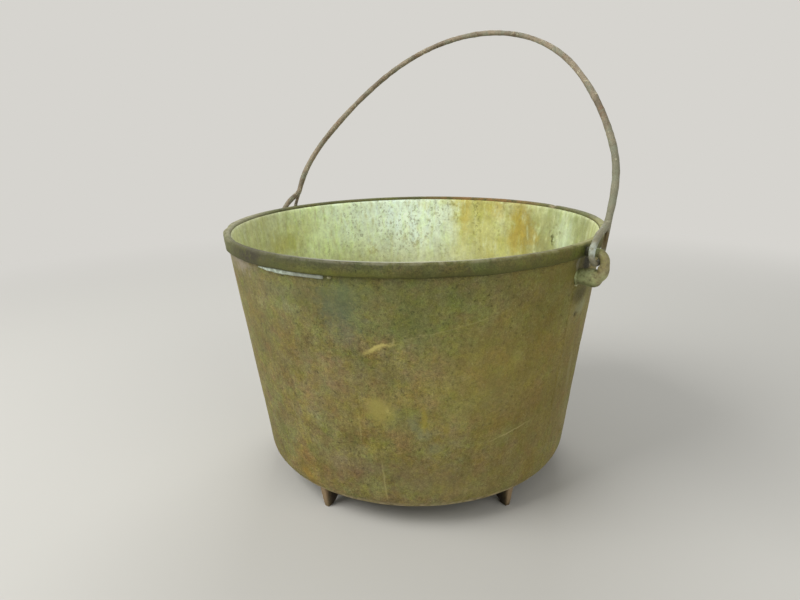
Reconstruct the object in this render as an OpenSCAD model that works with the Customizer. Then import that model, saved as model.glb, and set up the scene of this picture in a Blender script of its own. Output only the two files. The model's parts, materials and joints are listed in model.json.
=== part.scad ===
// Footed cast-iron kettle with a flat bottom, a tapered wall, a banded rim and a rod bail
// Millimetres. Z is up, the kettle stands on z = 0, and X runs through the two ears.

/* [Kettle] */
// Outside diameter of the rim band
rim_d = 305; // [240:1:400]
// Height from the ground to the top of the rim
kettle_h = 206; // [150:1:280]
// Outside diameter where the line of the wall would meet the underside
base_d = 250; // [180:1:300]
// Thickness of the cast wall
wall_t = 3.6; // [2.5:0.1:7]
// Thickness of the cast floor
floor_t = 4.6; // [3:0.1:8]
// Outside radius of the heel between wall and underside
heel_r = 17.5; // [10:0.5:30]
// Thickness of the pale lining inside
lining_t = 0.5; // [0.3:0.1:1.5]

/* [Rim band] */
// Height of the band round the rim
rim_h = 10; // [6:0.5:18]
// How far the band stands out from the wall
rim_proud = 3.6; // [2:0.1:7]
// Chamfer along the edges of the band
rim_chamfer = 1.4; // [0.5:0.1:2.5]

/* [Feet] */
// Height of the feet under the floor
foot_h = 13; // [8:0.5:25]
// Thickness of a foot across its fin
foot_t = 6; // [4:0.5:12]
// Radial length of a foot at its root
foot_root = 20; // [14:0.5:30]
// Radial length of the flat tip that stands on the ground
foot_tip = 6; // [4:0.5:12]
// Inset of the tip's outer edge from the base diameter
foot_inset = 7; // [4:0.5:14]
// Angle between the two feet of a pair
foot_spread = 73; // [60:1:120]
// Direction of the middle of the first pair, from the right ear
foot_turn = -50; // [-180:1:180]

/* [Ears] */
// Diameter of the bar that the bail hangs on
ear_bar_d = 6.4; // [5:0.1:10]
// Depth of that bar's axis under the top of the rim
ear_drop = 6; // [5:0.5:12]
// Bend radius of the ear's upper elbow, on its centre line
ear_elbow_r = 6; // [5:0.5:12]
// Bend radius of the ear's lower bend, on its centre line
ear_bend_r = 8; // [6:0.5:11]
// Diameter of the stout lower arm
ear_arm_d = 12.6; // [9:0.2:18]
// Diameter of the flared root on the wall
ear_root_d = 18; // [15:0.5:26]
// Gap that the bail's eye keeps to the lower arm as it swings
ear_sweep_gap = 3.4; // [1:0.2:6]
// Gap between the bail's eye and the ear's outer horn
ear_horn_gap = 1.2; // [0.6:0.1:4]
// Gap between the bail's eye and the rim band
ear_rim_gap = 4; // [1:0.2:8]

/* [Mould seams] */
// Width of the seam ridge left by the mould
seam_w = 2.4; // [1:0.2:5]
// How far the seam ridge stands out from the wall
seam_proud = 0.9; // [0.4:0.1:2]

/* [Bail] */
// Diameter of the bail's rod
rod_d = 5.5; // [4:0.1:9]
// Running gap between the bail's eye and the ear's bar
eye_gap = 0.45; // [0.3:0.05:1]
// Length of the eye, from the hinge axis to where its strands meet
eye_l = 20; // [16:0.5:32]
// Diameter of the drawn-out end that closes the eye
eye_end_d = 3.2; // [2:0.1:5]
// Gap between that end and the strand that it closes on
end_gap = 0.3; // [0.1:0.1:1]
// How far that end stops short of where the strands would meet
end_back = 3; // [0:0.5:6]
// Length of the straight leg above the eye
leg_l = 4; // [3:0.5:40]
// Outward splay of the leg
leg_splay = 4.5; // [0:0.5:10]
// Bend radius of the shoulder
shoulder_r = 100; // [60:1:160]
// Slope from upright where the shoulder ends
shoulder_turn = 28; // [20:1:40]
// Bend radius of the flank between shoulder and crown
flank_r = 250; // [120:1:300]
// Slope from upright where the flank ends
flank_turn = 46; // [42:1:60]
// Lean of the bail from upright, towards +Y
bail_lean = 31.5; // [0:0.5:50]

/* [Hidden] */
$fn = 96;

iron = "#6b6742";
band_iron = "#57553a";
pale_lining = "#c3cba0";
rod_iron = "#7a6a55";

// Wall: a straight taper from the base diameter to the underside of the rim band
rim_r = rim_d / 2;
base_r = base_d / 2;
band_z = kettle_h - rim_h;
wall_top_r = rim_r - rim_proud;
wall_slope = atan((wall_top_r - base_r) / (band_z - foot_h));
function wall_r(z) = base_r + (z - foot_h) * tan(wall_slope);
function inner_r(z, skin) = wall_r(z) - (wall_t + skin) / cos(wall_slope);

// Heel: arcs tangent to the wall and to the floor, outside and inside
inner_heel_r = heel_r - wall_t;
heel_z = foot_h + heel_r;
split_z = heel_z + floor_t;

// Ear: the bar carries the eye, the horn closes the loop, the arm returns to the wall
bar_r = ear_bar_d / 2;
rod_r = rod_d / 2;
bar_z = kettle_h - ear_drop;
eye_r = bar_r + eye_gap + rod_r;
eye_x = rim_r + ear_rim_gap + rod_r;
arm_r = ear_arm_d / 2;
arm_z = bar_z - eye_r - rod_r - ear_sweep_gap - arm_r;
horn_x = eye_x + rod_r + ear_horn_gap + bar_r;
elbow_z = bar_z - ear_elbow_r;
arm_end_x = horn_x - ear_bend_r;
bend_z = arm_z + ear_bend_r;
arm_root_x = wall_r(arm_z);
root_flare = ear_root_d / 2 - arm_r;
root_embed = wall_t / 2;

// Bail: leg, shoulder, flank and crown are tangent, and the crown closes on the middle plane
function on_arc(centre, radius, angle) = centre + radius * [cos(angle), sin(angle)];
eye_spread = asin(eye_r / eye_l);
strand_foot = on_arc([0, 0], eye_r, 180 - eye_spread);
// The drawn-out end stops beside the strand, a hair clear of it
end_r = eye_end_d / 2;
end_tip = [0, eye_l] + (rod_r + end_r + end_gap) * [cos(eye_spread), -sin(eye_spread)]
    - end_back * [sin(eye_spread), cos(eye_spread)];
end_angle = atan2(end_tip.y, end_tip.x) - acos(eye_r / norm(end_tip));
end_foot = on_arc([0, 0], eye_r, end_angle);
leg_top = [eye_x + leg_l * sin(leg_splay), eye_l + leg_l * cos(leg_splay)];
shoulder_c = on_arc(leg_top, -shoulder_r, -leg_splay);
shoulder_top = on_arc(shoulder_c, shoulder_r, shoulder_turn);
flank_c = on_arc(shoulder_top, -flank_r, shoulder_turn);
flank_top = on_arc(flank_c, flank_r, flank_turn);
crown_r = flank_top.x / cos(flank_turn);
crown_c = [0, flank_top.y - crown_r * sin(flank_turn)];

// Joints between lengths of bar overlap by this much, so that they make one solid
lap = 0.05;

// Half-section of a bucket with a rounded heel, from the axis out to a straight sloping side
module bucket_section(radius_low, z_low, radius_top, z_top, heel) {
    slope = atan((radius_top - radius_low) / (z_top - z_low));
    centre_z = z_low + heel;
    centre_x = radius_low + heel * tan(slope) - heel / cos(slope);
    polygon([
        [0, z_low], [centre_x, z_low], [centre_x, centre_z],
        [centre_x + heel * cos(slope), centre_z - heel * sin(slope)],
        [radius_top, z_top], [0, z_top]
    ]);
    intersection() {
        translate([centre_x, centre_z]) circle(heel);
        translate([centre_x, z_low]) square(heel);
    }
}

// Solid outside of the casting without its rim band, ears and feet
module outside() {
    rotate_extrude() bucket_section(base_r, foot_h, wall_top_r, band_z, heel_r);
}

// Solid inside of the casting, drawn in by a skin
module inside(skin) {
    z_low = foot_h + floor_t + skin;
    rotate_extrude()
        bucket_section(inner_r(z_low, skin), z_low, inner_r(kettle_h, skin), kettle_h, inner_heel_r - skin);
}

// Horizontal slab wider than the kettle
module slab(z_low, z_top) {
    translate([0, 0, z_low]) cylinder(r = rim_r + rim_proud, h = z_top - z_low);
}

module kettle_wall() {
    color(iron) rotate_extrude() polygon([
        [inner_r(split_z, 0), split_z], [wall_r(split_z), split_z],
        [wall_top_r, band_z], [inner_r(band_z, 0), band_z]
    ]);
}

module kettle_floor() {
    color(iron) difference() {
        intersection() {
            outside();
            slab(foot_h, split_z);
        }
        inside(0);
    }
}

module rim_band() {
    color(band_iron) rotate_extrude() polygon([
        [inner_r(band_z, 0), band_z], [rim_r - rim_chamfer, band_z], [rim_r, band_z + rim_chamfer],
        [rim_r, kettle_h - rim_chamfer], [rim_r - rim_chamfer, kettle_h], [inner_r(kettle_h, 0), kettle_h]
    ]);
}

module lining() {
    color(pale_lining) difference() {
        inside(0);
        inside(lining_t);
    }
}

// Round bar from one point of the XZ plane to another, which may taper
module bar_between(from, to, r_from, r_to) {
    run = to - from;
    translate([from.x, 0, from.y]) rotate([0, atan2(run.x, run.y), 0])
        cylinder(r1 = r_from, r2 = r_to, h = norm(run));
}

// Bent round bar in the XZ plane
module bend(centre, radius, angle_from, angle_to, bar) {
    translate([centre.x, 0, centre.y]) rotate([90, 0, 0]) rotate([0, 0, angle_from])
        rotate_extrude(angle = angle_to - angle_from) translate([radius, 0]) circle(bar);
}

// Ball that joins two lengths of bar at a point of the XZ plane
module knuckle(point, bar) {
    translate([point.x, 0, point.y]) sphere(bar + lap);
}

// Closed loop: bar, upper elbow, horn and lower bend, which runs into a stout arm with a flared root
module ear_loop() {
    bar_between([arm_root_x - root_embed, bar_z], [horn_x - ear_elbow_r, bar_z], bar_r, bar_r);
    bend([horn_x - ear_elbow_r, elbow_z], ear_elbow_r, 0, 90, bar_r);
    bar_between([horn_x, elbow_z], [horn_x, bend_z], bar_r, bar_r);
    bend([arm_end_x, bend_z], ear_bend_r, -90, 0, bar_r);
    for (joint = [[horn_x - ear_elbow_r, bar_z], [horn_x, elbow_z], [horn_x, bend_z]])
        knuckle(joint, bar_r);
    knuckle([arm_end_x, arm_z], arm_r);
    bar_between([arm_end_x, arm_z], [arm_root_x - root_embed, arm_z], arm_r, arm_r);
    bar_between([arm_root_x + root_flare, arm_z], [arm_root_x - root_embed, arm_z], arm_r, ear_root_d / 2);
}

module ear() {
    color(iron) difference() {
        ear_loop();
        outside();
        slab_of_band();
    }
}

// Space that the rim band fills, out to its own face
module slab_of_band() {
    translate([0, 0, band_z]) cylinder(r = rim_r, h = rim_h);
}

module right_ear() { ear(); }
module left_ear() { mirror([1, 0, 0]) ear(); }

// Ridge on the wall from the heel up to the root of the ear
module seam() {
    seam_angle = seam_w / base_r * 180 / PI;
    seam_top = arm_z - ear_root_d / 2;
    color(iron) rotate([0, 0, -seam_angle / 2]) rotate_extrude(angle = seam_angle) polygon([
        [wall_r(split_z), split_z], [wall_r(split_z) + seam_proud, split_z],
        [wall_r(seam_top) + seam_proud, seam_top], [wall_r(seam_top), seam_top]
    ]);
}

module right_seam() { seam(); }
module left_seam() { mirror([1, 0, 0]) seam(); }

// Upright fin under the heel, set along a radius of the kettle
module foot(turn) {
    tip_x = base_r - foot_inset;
    color(iron) difference() {
        rotate([0, 0, turn]) rotate([90, 0, 0]) linear_extrude(foot_t, center = true) polygon([
            [tip_x, 0], [wall_r(heel_z) - wall_t, heel_z], [tip_x - foot_root, heel_z],
            [tip_x - foot_root, foot_h], [tip_x - foot_tip, 0]
        ]);
        outside();
    }
}

module front_left_foot() { foot(foot_turn - foot_spread / 2); }
module front_right_foot() { foot(foot_turn + foot_spread / 2); }
module back_right_foot() { foot(foot_turn + 180 - foot_spread / 2); }
module back_left_foot() { foot(foot_turn + 180 + foot_spread / 2); }

// Teardrop eye in the plane across the hinge axis: the rod comes down one side and closes on the other
module eye() {
    translate([eye_x, 0, 0]) rotate([0, 0, 90]) {
        bend([0, 0], eye_r, -180 - eye_spread, end_angle, rod_r);
        bar_between(strand_foot, [0, eye_l], rod_r, rod_r);
        bar_between(end_foot, end_tip, rod_r, end_r);
        knuckle(strand_foot, rod_r);
        knuckle([0, eye_l], rod_r);
        knuckle(end_foot, rod_r);
        knuckle(end_tip, end_r);
    }
}

module half_bail() {
    eye();
    bar_between([eye_x, eye_l], leg_top, rod_r, rod_r);
    bend(shoulder_c, shoulder_r, -leg_splay, shoulder_turn, rod_r);
    bend(flank_c, flank_r, shoulder_turn, flank_turn, rod_r);
    for (joint = [leg_top, shoulder_top, flank_top]) knuckle(joint, rod_r);
}

module bail() {
    color(rod_iron) translate([0, 0, bar_z]) rotate([-bail_lean, 0, 0]) {
        half_bail();
        mirror([1, 0, 0]) half_bail();
        bend(crown_c, crown_r, flank_turn, 180 - flank_turn, rod_r);
    }
}

kettle_wall();
kettle_floor();
rim_band();
lining();
right_ear();
left_ear();
right_seam();
left_seam();
front_left_foot();
front_right_foot();
back_right_foot();
back_left_foot();
bail();
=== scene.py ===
"""Looks of an old footed cast-iron kettle with a rod bail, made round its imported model, in metres."""
import json
from math import atan2, cos, hypot, pi, radians, sin

import bmesh
import bpy
import numpy as np
from mathutils import Matrix, Vector, noise


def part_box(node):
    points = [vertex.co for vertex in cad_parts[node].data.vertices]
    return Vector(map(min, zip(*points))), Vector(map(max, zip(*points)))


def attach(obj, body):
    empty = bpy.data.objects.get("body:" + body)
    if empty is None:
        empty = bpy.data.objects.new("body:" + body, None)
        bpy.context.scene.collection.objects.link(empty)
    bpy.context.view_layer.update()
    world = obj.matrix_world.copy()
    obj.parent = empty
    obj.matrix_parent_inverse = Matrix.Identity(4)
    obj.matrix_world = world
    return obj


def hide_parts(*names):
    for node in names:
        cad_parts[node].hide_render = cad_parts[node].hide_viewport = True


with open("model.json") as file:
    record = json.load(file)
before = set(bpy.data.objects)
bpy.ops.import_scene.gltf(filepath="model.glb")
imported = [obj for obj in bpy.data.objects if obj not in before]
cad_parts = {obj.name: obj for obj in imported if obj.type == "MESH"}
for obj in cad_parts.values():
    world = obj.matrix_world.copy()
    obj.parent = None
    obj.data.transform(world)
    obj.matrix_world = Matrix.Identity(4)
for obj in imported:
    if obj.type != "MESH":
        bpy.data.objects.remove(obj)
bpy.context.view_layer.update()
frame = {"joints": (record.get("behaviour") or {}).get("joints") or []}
MM = 0.001

# Sizes of the casting, from the frame where it shows them
BAND_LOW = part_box("rim_band")[0].z
RIM_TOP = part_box("rim_band")[1].z
RIM_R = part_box("rim_band")[1].x
FOOT_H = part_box("kettle_floor")[0].z
BAND_PROUD = 3.6 * MM
BASE_R = 125 * MM
WALL_T = 3.6 * MM
FLOOR_T = 4.6 * MM
HEEL_R = 17.5 * MM
LINING_T = 0.5 * MM
LIP_R = 2.4 * MM
BAND_EDGE_R = 1.7 * MM
BAND_BULGE = 0.15 * MM
BAND_WEAR = 0.25 * MM
TAPER = (RIM_R - BAND_PROUD - BASE_R) / (BAND_LOW - FOOT_H)
SLOPE = atan2(TAPER, 1)

# Sizes of the ears and the bail, whose eyes hang on the ears' bars
HINGE_Z = frame["joints"][0]["pos_m"][2]
BAR_R = 3.2 * MM
ROD_R = 2.75 * MM
EYE_GAP = 0.45 * MM
EYE_R = BAR_R + EYE_GAP + ROD_R
BAND_PLAY = 4 * MM
EYE_X = RIM_R + BAND_PLAY + ROD_R
HORN_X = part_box("right_ear")[1].x - BAR_R
ELBOW_R = 6 * MM
BEND_R = 8 * MM
LOOP_SWELL = 0.9 * MM
SWELL_BELOW = 8 * MM
SWELL_RUN = 10 * MM
ARM_R = 6.5 * MM
ARM_FLAT = 0.8
ARM_THINNED = 1.1 * MM
ARM_THIN_RUN = 11 * MM
ARM_PLAY = 2.2 * MM
ARM_Z = HINGE_Z - EYE_R - ROD_R - ARM_PLAY - ARM_R
EYE_L = 20 * MM
LEG_SHIFT = 3.0 * MM
LEG_SHIFT_RUN = 30 * MM
EYE_SAG = 0.6 * MM
LEG_L = 4 * MM
LEG_SPLAY = radians(4.5)
SHOULDER_R = 100 * MM
SHOULDER_TURN = radians(28)
FLANK_R = 250 * MM
FLANK_TURN = radians(46)
BAIL_LEAN = radians(31.5)

# Along the rod, in mm from its tip: its radius there, and how far it is twisted outwards
ROD_RUNS = [(0, 0.5), (10, 1.4), (24, 1.7), (36, 1.95), (52, 2.2), (75, 2.5)]
EYE_TWIST = [(0, 1.8), (22, 2.1), (35, 1.6), (47, 0.9), (64, 0.3), (74, 1.0), (85, 0.3), (100, 0)]
CROWN_ROD_R = 2.15 * MM
WORN_FROM = 90 * MM
WORN_RUN = 80 * MM

# Sizes of the feet and the seams
FOOT_ANGLES = {
    "front_left_foot": -86.5,
    "front_right_foot": -13.5,
    "back_right_foot": 93.5,
    "back_left_foot": 166.5,
}
FOOT_TIP_R = 118 * MM
FOOT_TIP = 6 * MM
FOOT_ROOT = 20 * MM
FOOT_T = 6 * MM
FOOT_SUNK = 1.6 * MM
SEAM_SUNK = 0.22 * MM
SEAM_FLAT = 0.14
SEAM_WANDER = 0.6 * MM

# Where the camera stood: its place round the kettle, and how it was turned
VIEW_AZIMUTH = radians(40.4)
VIEW_DISTANCE = 529.5 * MM
VIEW_HEIGHT = 295.2 * MM
VIEW_PAN = -0.0239
VIEW_PITCH = 0.2885
VIEW_ROLL = -0.0211
LENS_MM = 29.115
SENSOR_MM = 36
FACING = VIEW_AZIMUTH - pi / 2


def wall_radius(z):
    """Outside of the sloping wall at a height"""
    return BASE_R + (z - FOOT_H) * TAPER


def inner_radius(z, skin=0.0):
    """Inside of the wall at a height, under a skin of this thickness"""
    return wall_radius(z) - (WALL_T + skin) / cos(SLOPE)


# Meshes

CASTING_LUMPS = [  # azimuth in degrees, height, reach and rise of small lumps and dents
    (12, 46 * MM, 4 * MM, 1.0 * MM),
    (10, 29 * MM, 3 * MM, 0.9 * MM),
    (6, 156.5 * MM, 9 * MM, 1.0 * MM),
    (3.3, 152 * MM, 2.2 * MM, -1.6 * MM),
]
BAND_LUMPS = [  # the same for the band
    (-134, BAND_LOW - 1 * MM, 14 * MM, -2.8 * MM),
    (-122, BAND_LOW - 1 * MM, 14 * MM, -3.0 * MM),
    (-110, 203 * MM, 10 * MM, -0.9 * MM),
    (69.5, 206 * MM, 3 * MM, -1.2 * MM),
]
OUT_OF_ROUND = [(2, 0.30 * MM, -0.7), (3, 0.18 * MM, 1.1)]  # waves round the kettle, height and phase
SAND_LUMPS = [(4, 0.30 * MM), (13, 0.14 * MM)]  # fineness and height
BAND_EDGE_LUMPS = [(7, 0.5 * MM), (23, 0.25 * MM)]
ROD_SCALE = [(55, 0.12), (240, 0.09)]  # fineness and share of the radius


def lumps(bumps, azimuth, z):
    """Height of the nearby lumps at a place on the kettle"""
    out = 0.0
    for lump_azimuth, lump_z, reach, rise in bumps:
        turned = (azimuth - radians(lump_azimuth) + pi) % (2 * pi) - pi
        away = hypot(turned * RIM_R, z - lump_z) / reach
        if away < 2:
            out += rise * np.exp(-2 * away ** 2)
    return out


def rough_lumps(place, grades):
    """Sum of irregular lumps at a place, from the fineness and height of each grade"""
    return sum(height * noise.noise(place * fineness) for fineness, height in grades)


def unevenness(azimuth, z):
    """How far the sand mould left the kettle out of true at a place, along the radius"""
    turn = Vector((cos(azimuth), sin(azimuth), z / RIM_R))
    waves = sum(height * cos(count * azimuth + phase) for count, height, phase in OUT_OF_ROUND)
    return waves + rough_lumps(turn, SAND_LUMPS)


def clamped(value):
    """A value held between 0 and 1"""
    return min(1, max(0, value))


def arc(centre, radius, start, end, steps):
    """Points along an arc, angles in radians"""
    return [
        (centre[0] + radius * cos(a), centre[1] + radius * sin(a))
        for a in np.linspace(start, end, steps + 1)
    ]


def spaced(points, gap):
    """The same outline with no two neighbours further apart than the gap"""
    out = [points[0]]
    for a, b in zip(np.array(points), np.array(points[1:])):
        count = max(1, int(np.ceil(hypot(*(b - a)) / gap)))
        out += [tuple(a + (b - a) * i / count) for i in range(1, count + 1)]
    return out


def piece_from(name, verts, faces, finish, slot, body="kettle", replaced=()):
    """A smooth piece with its finish, riding on its body in place of the nodes it replaces"""
    mesh = bpy.data.meshes.new(name)
    mesh.from_pydata([tuple(v) for v in verts], [], faces)
    mesh.update()
    solid = bmesh.new()
    solid.from_mesh(mesh)
    bmesh.ops.recalc_face_normals(solid, faces=solid.faces)
    solid.to_mesh(mesh)
    solid.free()
    mesh.polygons.foreach_set("use_smooth", [True] * len(mesh.polygons))
    piece = bpy.data.objects.new(name, mesh)
    bpy.context.scene.collection.objects.link(piece)
    mesh.materials.append(finish)
    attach(piece, body)
    if replaced:
        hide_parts(*replaced)
    return piece


ON_AXIS = 0.001 * MM


def lathe(outline, turns, closed, shape):
    """Vertices and faces of an outline of (radius, height) points turned about the kettle's axis"""
    verts, rows = [], []
    for radius, z in outline:
        if radius < ON_AXIS:
            rows.append([len(verts)])
            verts.append((0.0, 0.0, z))
            continue
        rows.append(list(range(len(verts), len(verts) + turns)))
        for k in range(turns):
            azimuth = 2 * pi * k / turns - pi
            r, lift = shape(azimuth, radius, z)
            verts.append((r * cos(azimuth), r * sin(azimuth), z + lift))
    faces = []
    pairs = list(zip(rows, rows[1:])) + ([(rows[-1], rows[0])] if closed else [])
    for low, high in pairs:
        for k in range(turns):
            n = (k + 1) % turns
            if len(low) == 1:
                faces.append((low[0], high[n], high[k]))
            elif len(high) == 1:
                faces.append((low[k], low[n], high[0]))
            else:
                faces.append((low[k], low[n], high[n], high[k]))
    return verts, faces


def tube(path, radii, sides, flat=(1.0, 1.0)):
    """Vertices and faces of a bar along a path, with domed ends; flat scales its section's two axes"""
    path = np.array(path, float)
    along = np.gradient(path, axis=0)
    along /= np.linalg.norm(along, axis=1)[:, None]
    side = np.cross(along[0], (0.0, 0.0, 1.0))
    if np.linalg.norm(side) < 0.1:
        side = np.cross(along[0], (0.0, 1.0, 0.0))
    verts, faces = [], []
    for point, run, radius in zip(path, along, radii):
        side = side - run * np.dot(side, run)
        side /= np.linalg.norm(side)
        across = np.cross(run, side)
        for k in range(sides):
            a = 2 * pi * k / sides
            verts.append(point + radius * (side * cos(a) * flat[0] + across * sin(a) * flat[1]))
    for i in range(len(path) - 1):
        for k in range(sides):
            n = (k + 1) % sides
            faces.append((i * sides + k, i * sides + n, (i + 1) * sides + n, (i + 1) * sides + k))
    last = (len(path) - 1) * sides
    domes = -along[0] * radii[0] * 0.5, along[-1] * radii[-1] * 0.5
    for start, end, dome in ((0, path[0], domes[0]), (last, path[-1], domes[1])):
        verts.append(end + dome)
        faces += [(start + k, start + (k + 1) % sides, len(verts) - 1) for k in range(sides)]
    return verts, faces


def ball(centre, radii, sides=20, rows=12):
    """Vertices and faces of an ellipsoid"""
    verts = [np.array(centre) - (0, 0, radii[2]), np.array(centre) + (0, 0, radii[2])]
    for i in range(1, rows):
        tilt = pi * i / rows - pi / 2
        for k in range(sides):
            a = 2 * pi * k / sides
            spoke = np.array((cos(a) * cos(tilt), sin(a) * cos(tilt), sin(tilt)))
            verts.append(np.array(centre) + spoke * radii)
    faces = []
    for k in range(sides):
        n = (k + 1) % sides
        faces.append((0, 2 + n, 2 + k))
        for i in range(rows - 2):
            low = 2 + i * sides
            faces.append((low + k, low + n, low + sides + n, low + sides + k))
        top = 2 + (rows - 2) * sides
        faces.append((top + k, top + n, 1))
    return verts, faces


def joined(*parts):
    """Several sets of vertices and faces as one"""
    verts, faces = [], []
    for part_verts, part_faces in parts:
        faces += [tuple(i + len(verts) for i in face) for face in part_faces]
        verts += list(part_verts)
    return verts, faces


def fused(piece, voxel, smoothing, grain, grain_size, lowest=None):
    """Melts a piece's overlapping bars into one cast skin, and roughens it along its normals"""
    remesh = piece.modifiers.new("skin", "REMESH")
    remesh.mode = "VOXEL"
    remesh.voxel_size = voxel
    smooth = piece.modifiers.new("soften", "SMOOTH")
    smooth.factor = 0.5
    smooth.iterations = smoothing
    bpy.context.view_layer.update()
    seen = piece.evaluated_get(bpy.context.evaluated_depsgraph_get())
    mesh = bpy.data.meshes.new_from_object(seen)
    piece.modifiers.clear()
    old = piece.data
    mesh.materials.clear()
    for finish in old.materials:
        mesh.materials.append(finish)
    piece.data = mesh
    bpy.data.meshes.remove(old)
    normals = [v.normal.copy() for v in mesh.vertices]
    for v, normal in zip(mesh.vertices, normals):
        rough = noise.fractal(v.co / grain_size, 0.8, 2.1, 3)
        v.co += normal * grain * rough
        if lowest is not None:
            v.co.z = max(v.co.z, lowest)
    mesh.polygons.foreach_set("use_smooth", [True] * len(mesh.polygons))
    mesh.update()


# Finishes

class Field:
    """A value that changes over a surface; arithmetic on it adds Math nodes to its graph"""

    def __init__(self, graph, socket):
        self.graph = graph
        self.socket = socket

    def maths(self, operation, *operands):
        return self.graph.node("ShaderNodeMath", {"operation": operation}, dict(enumerate(operands)))

    def __add__(self, other):
        return self.maths("ADD", self, other)

    def __sub__(self, other):
        return self.maths("SUBTRACT", self, other)

    def __rsub__(self, other):
        return self.maths("SUBTRACT", other, self)

    def __mul__(self, other):
        return self.maths("MULTIPLY", self, other)

    __radd__ = __add__
    __rmul__ = __mul__

    def ramp(self, low, high):
        """0 at low and 1 at high, with soft ends; low may be the larger"""
        return self.graph.node(
            "ShaderNodeMapRange", {"interpolation_type": "SMOOTHSTEP"},
            {"Value": self, "From Min": low, "From Max": high},
        )


class Graph:
    """The nodes of a material or of the world"""

    def __init__(self, owner):
        owner.use_nodes = True
        self.tree = owner.node_tree

    def node(self, kind, settings, sockets, out=0):
        made = self.tree.nodes.new(kind)
        for key, value in settings.items():
            setattr(made, key, value)
        for key, value in sockets.items():
            if isinstance(value, Field):
                self.tree.links.new(value.socket, made.inputs[key])
            else:
                made.inputs[key].default_value = value
        return Field(self, made.outputs[out])

    def show(self, output, surface):
        """Makes a shader the surface of the named output"""
        self.tree.links.new(surface.socket, self.tree.nodes[output].inputs["Surface"])


class Finish(Graph):
    """A material whose Principled shader is fed by named fields"""

    def __init__(self, name, **constants):
        self.material = bpy.data.materials.new(name)
        super().__init__(self.material)
        self.shader = self.tree.nodes["Principled BSDF"]
        for socket, value in constants.items():
            self.shader.inputs[socket.replace("_", " ")].default_value = value
        self.place = self.node("ShaderNodeTexCoord", {}, {}, "Object")

    def axes(self, vector):
        return [self.node("ShaderNodeSeparateXYZ", {}, {0: vector}, axis) for axis in "XYZ"]

    def stretched(self, vector, scale):
        return self.node("ShaderNodeVectorMath", {"operation": "MULTIPLY"}, {0: vector, 1: scale})

    def shifted(self, vector, other):
        return self.node("ShaderNodeVectorMath", {"operation": "ADD"}, {0: vector, 1: other})

    def noise(self, vector, size, detail=3.0, rough=0.5, out="Fac"):
        """Clouds whose features are about this size in metres"""
        sockets = {"Vector": vector, "Scale": 1 / size, "Detail": detail, "Roughness": rough}
        return self.node("ShaderNodeTexNoise", {}, sockets, out)

    def mix(self, mask, under, over, mode="MIX"):
        """A colour over another where the mask is 1"""
        settings = {"data_type": "RGBA", "blend_type": mode}
        return self.node("ShaderNodeMix", settings, {0: mask, 6: under, 7: over}, 2)

    def shade(self, colour, factor):
        """A colour made lighter or darker by a factor"""
        return self.node("ShaderNodeVectorMath", {"operation": "SCALE"}, {0: colour, "Scale": factor})

    def blotched(self, colour, place, blotches):
        """The colour with ragged patches, each given by its clouds' shift and size, and its tint"""
        for shift, size, tint in blotches:
            mask = self.noise(self.shifted(place, shift), size, 5, 0.7).ramp(0.47, 0.62)
            colour = self.mix(mask * 0.75, colour, tint, "MULTIPLY")
        return colour

    def feed(self, **fields):
        """Links fields to the shader's sockets of the same names"""
        for socket, field in fields.items():
            self.tree.links.new(field.socket, self.shader.inputs[socket.replace("_", " ")])

    def bumps(self, height, depth):
        """Relief of this depth in metres"""
        sockets = {"Height": height, "Distance": depth, "Strength": 1.0}
        self.feed(Normal=self.node("ShaderNodeBump", {}, sockets, "Normal"))

    def near(self, point, full, none):
        """Mask round a point, 1 within the first distance and 0 beyond the second"""
        settings = {"operation": "DISTANCE"}
        away = self.node("ShaderNodeVectorMath", settings, {0: self.place, 1: point}, "Value")
        return away.ramp(none, full)

    def from_axis(self):
        """Distance from the kettle's axis"""
        flat = self.stretched(self.place, (1, 1, 0))
        return self.node("ShaderNodeVectorMath", {"operation": "LENGTH"}, {0: flat}, "Value")

    def round_wall(self, radius, middle):
        """Places on a round wall as arc length from its middle azimuth, and height"""
        self.radius = radius
        self.middle = middle
        x, y, z = self.axes(self.place)
        ahead = x * cos(middle) + y * sin(middle)
        aside = y * cos(middle) - x * sin(middle)
        arc_length = aside.maths("ARCTAN2", aside, ahead) * radius
        return self.node("ShaderNodeCombineXYZ", {}, {"X": arc_length, "Y": z}), z

    def spot(self, wall, azimuth, height, length, width, tilt=0.0, soft=0.6):
        """Mask of an oval mark on the wall: azimuth and tilt in degrees, half length and half width"""
        arc_length = ((radians(azimuth) - self.middle + pi) % (2 * pi) - pi) * self.radius
        settings = {"vector_type": "TEXTURE"}
        moved = self.node("ShaderNodeMapping", settings, {
            "Vector": wall, "Location": (arc_length, height, 0),
            "Rotation": (0, 0, radians(tilt)), "Scale": (length, width, 1),
        })
        away = self.node("ShaderNodeVectorMath", {"operation": "LENGTH"}, {0: moved}, "Value")
        return away.ramp(1 + soft, 1 - soft)

    def pushes(self, size):
        """Clouds that push a place about, so that the marks on it get ragged edges"""
        warp = self.noise(self.place, size, 4, 0.7, "Color")
        return self.shifted(warp, (-0.5, -0.5, -0.5))

    def stained(self, colour, wall, stains, soft, fade=None):
        """The colour under oval stains, given in degrees and mm as for a spot, then strength and colour"""
        for azimuth, up, length, width, *tilt, strength, stain in stains:
            mask = self.spot(wall, azimuth, up * MM, length * MM, width * MM, *tilt, soft=soft) * strength
            colour = self.mix(mask * fade if fade else mask, colour, stain)
        return colour

    def tinted(self, colour, wall, tints, soft):
        """The colour with broad shifts of hue, given in degrees and mm as for a spot, then the tint"""
        for azimuth, up, length, width, tint in tints:
            mask = self.spot(wall, azimuth, up * MM, length * MM, width * MM, 0, soft)
            colour = self.mix(mask, colour, tint, "MULTIPLY")
        return colour


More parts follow.
